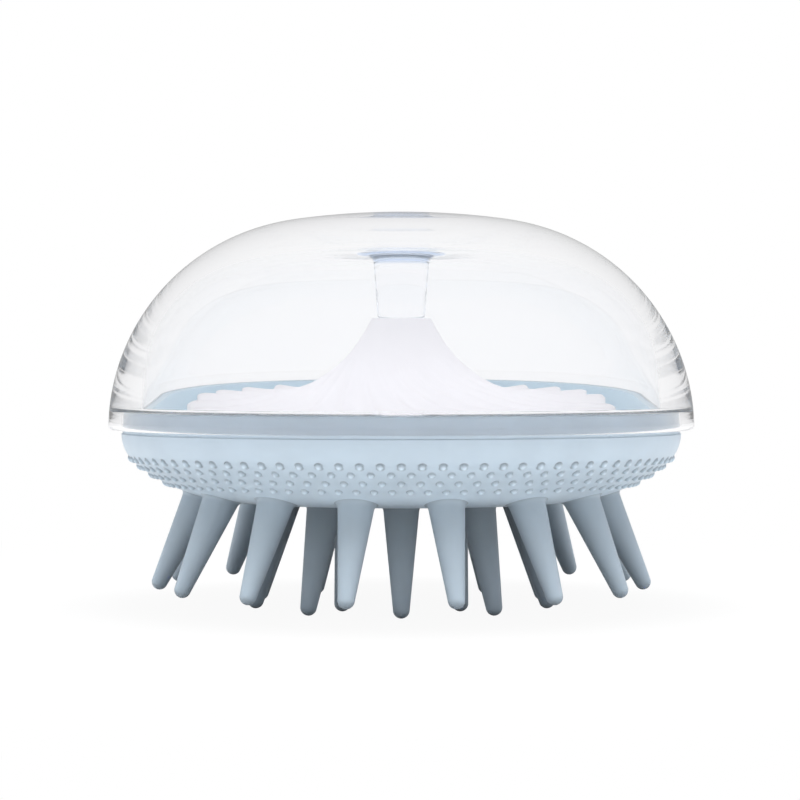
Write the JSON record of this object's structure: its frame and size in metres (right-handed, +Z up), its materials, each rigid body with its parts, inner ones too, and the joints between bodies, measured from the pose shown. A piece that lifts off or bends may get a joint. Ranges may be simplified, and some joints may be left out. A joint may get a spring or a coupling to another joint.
{
  "type": "scalp massager",
  "caption": "Palm-held scalp massager: a clear dome with a white mountain-shaped cone inside, over a light-blue silicone pad with nubs and rings of soft tapered bristles.",
  "frame": {"origin": "centre of the round body at the level of the lowest bristle tips, on which it stands", "axes": "+Z up from the bristle tips to the dome's crown, -Y to the side the picture looks at, +X to that view's right"},
  "size_m": [0.09, 0.09, 0.0604],
  "materials": {
    "clear_dome": "polished clear",
    "white_cone": "satin white",
    "blue_plate": "satin light blue",
    "blue_silicone": "matte light blue silicone"
  },
  "bodies": {
    "base": {"floor_plate": "blue_plate", "brush_pad": "blue_silicone", "nub_row_1": "blue_silicone", "nub_row_2": "blue_silicone", "nub_row_3": "blue_silicone", "nub_row_4": "blue_silicone", "mountain_cone": "white_cone"},
    "dome": {"dome_shell": "clear_dome"},
    "bristle_outer_01": {"bristle_outer_01": "blue_silicone"},
    "bristle_outer_02": {"bristle_outer_02": "blue_silicone"},
    "bristle_outer_03": {"bristle_outer_03": "blue_silicone"},
    "bristle_outer_04": {"bristle_outer_04": "blue_silicone"},
    "bristle_outer_05": {"bristle_outer_05": "blue_silicone"},
    "bristle_outer_06": {"bristle_outer_06": "blue_silicone"},
    "bristle_outer_07": {"bristle_outer_07": "blue_silicone"},
    "bristle_outer_08": {"bristle_outer_08": "blue_silicone"},
    "bristle_outer_09": {"bristle_outer_09": "blue_silicone"},
    "bristle_outer_10": {"bristle_outer_10": "blue_silicone"},
    "bristle_outer_11": {"bristle_outer_11": "blue_silicone"},
    "bristle_outer_12": {"bristle_outer_12": "blue_silicone"},
    "bristle_outer_13": {"bristle_outer_13": "blue_silicone"},
    "bristle_outer_14": {"bristle_outer_14": "blue_silicone"},
    "bristle_outer_15": {"bristle_outer_15": "blue_silicone"},
    "bristle_middle_01": {"bristle_middle_01": "blue_silicone"},
    "bristle_middle_02": {"bristle_middle_02": "blue_silicone"},
    "bristle_middle_03": {"bristle_middle_03": "blue_silicone"},
    "bristle_middle_04": {"bristle_middle_04": "blue_silicone"},
    "bristle_middle_05": {"bristle_middle_05": "blue_silicone"},
    "bristle_middle_06": {"bristle_middle_06": "blue_silicone"},
    "bristle_middle_07": {"bristle_middle_07": "blue_silicone"},
    "bristle_middle_08": {"bristle_middle_08": "blue_silicone"},
    "bristle_middle_09": {"bristle_middle_09": "blue_silicone"},
    "bristle_middle_10": {"bristle_middle_10": "blue_silicone"},
    "bristle_inner_01": {"bristle_inner_01": "blue_silicone"},
    "bristle_inner_02": {"bristle_inner_02": "blue_silicone"},
    "bristle_inner_03": {"bristle_inner_03": "blue_silicone"},
    "bristle_inner_04": {"bristle_inner_04": "blue_silicone"},
    "bristle_inner_05": {"bristle_inner_05": "blue_silicone"}
  },
  "joints": [
    {"name": "dome_lift", "type": "slide", "parent": "base", "child": "dome", "axis": [0, 0, 1], "range_m": [0, 0.04]},
    {"name": "bristle_outer_01_flex", "type": "hinge", "parent": "base", "child": "bristle_outer_01", "pos_m": [0.00655, -0.03081, 0.01568], "axis": [-0.9781, -0.2079, 0], "range_deg": [-15, 15], "stiffness_Nm_per_rad": 0.012},
    {"name": "bristle_outer_02_flex", "type": "hinge", "parent": "base", "child": "bristle_outer_02", "pos_m": [0.01852, -0.02548, 0.01568], "axis": [-0.809, -0.5878, 0], "range_deg": [-15, 15], "stiffness_Nm_per_rad": 0.012},
    {"name": "bristle_outer_03_flex", "type": "hinge", "parent": "base", "child": "bristle_outer_03", "pos_m": [0.02728, -0.01575, 0.01568], "axis": [-0.5, -0.866, 0], "range_deg": [-15, 15], "stiffness_Nm_per_rad": 0.012},
    {"name": "bristle_outer_04_flex", "type": "hinge", "parent": "base", "child": "bristle_outer_04", "pos_m": [0.03133, -0.00329, 0.01568], "axis": [-0.1045, -0.9945, 0], "range_deg": [-15, 15], "stiffness_Nm_per_rad": 0.012},
    {"name": "bristle_outer_05_flex", "type": "hinge", "parent": "base", "child": "bristle_outer_05", "pos_m": [0.02996, 0.00973, 0.01568], "axis": [0.309, -0.9511, 0], "range_deg": [-15, 15], "stiffness_Nm_per_rad": 0.012},
    {"name": "bristle_outer_06_flex", "type": "hinge", "parent": "base", "child": "bristle_outer_06", "pos_m": [0.02341, 0.02108, 0.01568], "axis": [0.6691, -0.7431, 0], "range_deg": [-15, 15], "stiffness_Nm_per_rad": 0.012},
    {"name": "bristle_outer_07_flex", "type": "hinge", "parent": "base", "child": "bristle_outer_07", "pos_m": [0.01281, 0.02878, 0.01568], "axis": [0.9135, -0.4067, 0], "range_deg": [-15, 15], "stiffness_Nm_per_rad": 0.012},
    {"name": "bristle_outer_08_flex", "type": "hinge", "parent": "base", "child": "bristle_outer_08", "pos_m": [0, 0.0315, 0.01568], "axis": [1, 0, 0], "range_deg": [-15, 15], "stiffness_Nm_per_rad": 0.012},
    {"name": "bristle_outer_09_flex", "type": "hinge", "parent": "base", "child": "bristle_outer_09", "pos_m": [-0.01281, 0.02878, 0.01568], "axis": [0.9135, 0.4067, 0], "range_deg": [-15, 15], "stiffness_Nm_per_rad": 0.012},
    {"name": "bristle_outer_10_flex", "type": "hinge", "parent": "base", "child": "bristle_outer_10", "pos_m": [-0.02341, 0.02108, 0.01568], "axis": [0.6691, 0.7431, 0], "range_deg": [-15, 15], "stiffness_Nm_per_rad": 0.012},
    {"name": "bristle_outer_11_flex", "type": "hinge", "parent": "base", "child": "bristle_outer_11", "pos_m": [-0.02996, 0.00973, 0.01568], "axis": [0.309, 0.9511, 0], "range_deg": [-15, 15], "stiffness_Nm_per_rad": 0.012},
    {"name": "bristle_outer_12_flex", "type": "hinge", "parent": "base", "child": "bristle_outer_12", "pos_m": [-0.03133, -0.00329, 0.01568], "axis": [-0.1045, 0.9945, 0], "range_deg": [-15, 15], "stiffness_Nm_per_rad": 0.012},
    {"name": "bristle_outer_13_flex", "type": "hinge", "parent": "base", "child": "bristle_outer_13", "pos_m": [-0.02728, -0.01575, 0.01568], "axis": [-0.5, 0.866, 0], "range_deg": [-15, 15], "stiffness_Nm_per_rad": 0.012},
    {"name": "bristle_outer_14_flex", "type": "hinge", "parent": "base", "child": "bristle_outer_14", "pos_m": [-0.01852, -0.02548, 0.01568], "axis": [-0.809, 0.5878, 0], "range_deg": [-15, 15], "stiffness_Nm_per_rad": 0.012},
    {"name": "bristle_outer_15_flex", "type": "hinge", "parent": "base", "child": "bristle_outer_15", "pos_m": [-0.00655, -0.03081, 0.01568], "axis": [-0.9781, 0.2079, 0], "range_deg": [-15, 15], "stiffness_Nm_per_rad": 0.012},
    {"name": "bristle_middle_01_flex", "type": "hinge", "parent": "base", "child": "bristle_middle_01", "pos_m": [0, -0.0196, 0.0147], "axis": [-1, 0, 0], "range_deg": [-15, 15], "stiffness_Nm_per_rad": 0.012},
    {"name": "bristle_middle_02_flex", "type": "hinge", "parent": "base", "child": "bristle_middle_02", "pos_m": [0.01152, -0.01586, 0.0147], "axis": [-0.809, -0.5878, 0], "range_deg": [-15, 15], "stiffness_Nm_per_rad": 0.012},
    {"name": "bristle_middle_03_flex", "type": "hinge", "parent": "base", "child": "bristle_middle_03", "pos_m": [0.01864, -0.00606, 0.0147], "axis": [-0.309, -0.9511, 0], "range_deg": [-15, 15], "stiffness_Nm_per_rad": 0.012},
    {"name": "bristle_middle_04_flex", "type": "hinge", "parent": "base", "child": "bristle_middle_04", "pos_m": [0.01864, 0.00606, 0.0147], "axis": [0.309, -0.9511, 0], "range_deg": [-15, 15], "stiffness_Nm_per_rad": 0.012},
    {"name": "bristle_middle_05_flex", "type": "hinge", "parent": "base", "child": "bristle_middle_05", "pos_m": [0.01152, 0.01586, 0.0147], "axis": [0.809, -0.5878, 0], "range_deg": [-15, 15], "stiffness_Nm_per_rad": 0.012},
    {"name": "bristle_middle_06_flex", "type": "hinge", "parent": "base", "child": "bristle_middle_06", "pos_m": [0, 0.0196, 0.0147], "axis": [1, 0, 0], "range_deg": [-15, 15], "stiffness_Nm_per_rad": 0.012},
    {"name": "bristle_middle_07_flex", "type": "hinge", "parent": "base", "child": "bristle_middle_07", "pos_m": [-0.01152, 0.01586, 0.0147], "axis": [0.809, 0.5878, 0], "range_deg": [-15, 15], "stiffness_Nm_per_rad": 0.012},
    {"name": "bristle_middle_08_flex", "type": "hinge", "parent": "base", "child": "bristle_middle_08", "pos_m": [-0.01864, 0.00606, 0.0147], "axis": [0.309, 0.9511, 0], "range_deg": [-15, 15], "stiffness_Nm_per_rad": 0.012},
    {"name": "bristle_middle_09_flex", "type": "hinge", "parent": "base", "child": "bristle_middle_09", "pos_m": [-0.01864, -0.00606, 0.0147], "axis": [-0.309, 0.9511, 0], "range_deg": [-15, 15], "stiffness_Nm_per_rad": 0.012},
    {"name": "bristle_middle_10_flex", "type": "hinge", "parent": "base", "child": "bristle_middle_10", "pos_m": [-0.01152, -0.01586, 0.0147], "axis": [-0.809, 0.5878, 0], "range_deg": [-15, 15], "stiffness_Nm_per_rad": 0.012},
    {"name": "bristle_inner_01_flex", "type": "hinge", "parent": "base", "child": "bristle_inner_01", "pos_m": [0.00743, -0.01023, 0.0147], "axis": [-0.809, -0.5878, 0], "range_deg": [-15, 15], "stiffness_Nm_per_rad": 0.012},
    {"name": "bristle_inner_02_flex", "type": "hinge", "parent": "base", "child": "bristle_inner_02", "pos_m": [0.01203, 0.00391, 0.0147], "axis": [0.309, -0.9511, 0], "range_deg": [-15, 15], "stiffness_Nm_per_rad": 0.012},
    {"name": "bristle_inner_03_flex", "type": "hinge", "parent": "base", "child": "bristle_inner_03", "pos_m": [0, 0.01265, 0.0147], "axis": [1, 0, 0], "range_deg": [-15, 15], "stiffness_Nm_per_rad": 0.012},
    {"name": "bristle_inner_04_flex", "type": "hinge", "parent": "base", "child": "bristle_inner_04", "pos_m": [-0.01203, 0.00391, 0.0147], "axis": [0.309, 0.9511, 0], "range_deg": [-15, 15], "stiffness_Nm_per_rad": 0.012},
    {"name": "bristle_inner_05_flex", "type": "hinge", "parent": "base", "child": "bristle_inner_05", "pos_m": [-0.00743, -0.01023, 0.0147], "axis": [-0.809, 0.5878, 0], "range_deg": [-15, 15], "stiffness_Nm_per_rad": 0.012}
  ]
}
